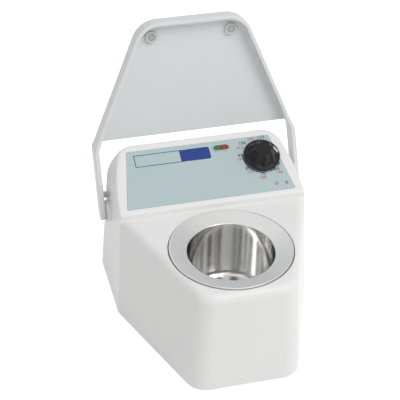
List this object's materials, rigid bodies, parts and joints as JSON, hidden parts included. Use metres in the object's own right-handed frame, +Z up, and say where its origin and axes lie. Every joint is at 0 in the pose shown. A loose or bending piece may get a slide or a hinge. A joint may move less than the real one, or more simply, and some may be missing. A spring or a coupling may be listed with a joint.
{
  "type": "block heater",
  "caption": "Compact single-well block heater: tapered housing, sloping control panel with dial, turned funnel-mouthed well and a tray lid on two swinging arms.",
  "frame": {"origin": "middle of the bounding box with the lid open, on the bench", "axes": "+Z up, -Y the front with the well, +X to the right as seen from the front"},
  "size_m": [0.1266, 0.1498, 0.1638],
  "materials": {
    "housing_plastic": "fine satin moulding, warm white",
    "lid_plastic": "satin moulding, white",
    "sheet_steel": "zinc-plated sheet",
    "band_steel": "heat-darkened steel band",
    "rubber": "moulded rubber",
    "bumper_rubber": "light grey rubber",
    "screw_steel": "zinc-plated screw",
    "label_film": "printed blue-grey film",
    "light_plastic": "light grey plastic",
    "green_lens": "clear green lens",
    "red_lens": "clear red lens",
    "led_epoxy": "clear epoxy",
    "circuit_board": "laminate",
    "thermostat_plastic": "phenolic moulding",
    "shaft_steel": "ground shaft",
    "copper": "copper tube",
    "turned_aluminium": "turned, satin rim and polished well",
    "fibre": "pressed fibre",
    "ceramic": "glazed ceramic",
    "black_plastic": "black moulding",
    "rocker_plastic": "black moulding",
    "pin_nickel": "nickel-plated blade",
    "brass": "turned brass",
    "wire_sleeve": "silicone sleeving",
    "knob_plastic": "black satin moulding",
    "pointer_white": "white inlay"
  },
  "bodies": {
    "housing_body": {"housing": "housing_plastic", "base_plate": "sheet_steel", "feet": "rubber", "base_screws": "screw_steel", "control_label": "label_film", "indicator_bezel": "light_plastic", "lens_green": "green_lens", "lens_red": "red_lens", "led_board": "circuit_board", "indicator_leds": "led_epoxy", "board_screws": "screw_steel", "thermostat_body": "thermostat_plastic", "thermostat_nut": "sheet_steel", "sensor_bulb": "copper", "capillary_tube": "copper", "heating_pot": "turned_aluminium", "pot_gasket": "rubber", "insulating_washer": "fibre", "pot_ring_nut": "turned_aluminium", "heater_band": "band_steel", "band_screw": "screw_steel", "heater_terminals": "ceramic", "thermal_cutoff": "thermostat_plastic", "cutoff_bracket": "sheet_steel", "cutoff_screws": "screw_steel", "power_inlet": "black_plastic", "inlet_pins": "pin_nickel", "inlet_screws": "screw_steel", "inlet_nuts": "sheet_steel", "switch_frame": "black_plastic", "terminal_block": "ceramic", "terminal_screws": "screw_steel", "earth_stud": "brass", "wiring": "wire_sleeve", "hinge_washers": "light_plastic"},
    "lid_body": {"lid": "lid_plastic", "lid_bumpers": "bumper_rubber", "bumper_screws": "screw_steel", "hinge_clips": "sheet_steel"},
    "knob_body": {"thermostat_shaft": "shaft_steel", "knob": "knob_plastic", "knob_pointer": "pointer_white", "knob_insert": "brass"},
    "rocker_body": {"switch_rocker": "rocker_plastic"}
  },
  "joints": [
    {"name": "lid_hinge", "type": "hinge", "parent": "housing_body", "child": "lid_body", "pos_m": [0, 0.03808, 0.053], "axis": [1, 0, 0], "range_deg": [0, 99]},
    {"name": "knob_turn", "type": "hinge", "parent": "housing_body", "child": "knob_body", "pos_m": [0.0368, 0.03438, 0.08183], "axis": [0, -0.3778, 0.9259], "range_deg": [-267, 0]},
    {"name": "switch_rock", "type": "hinge", "parent": "housing_body", "child": "rocker_body", "pos_m": [0.028, 0.05541, 0.0259], "axis": [1, 0, 0], "range_deg": [0, 16]}
  ]
}
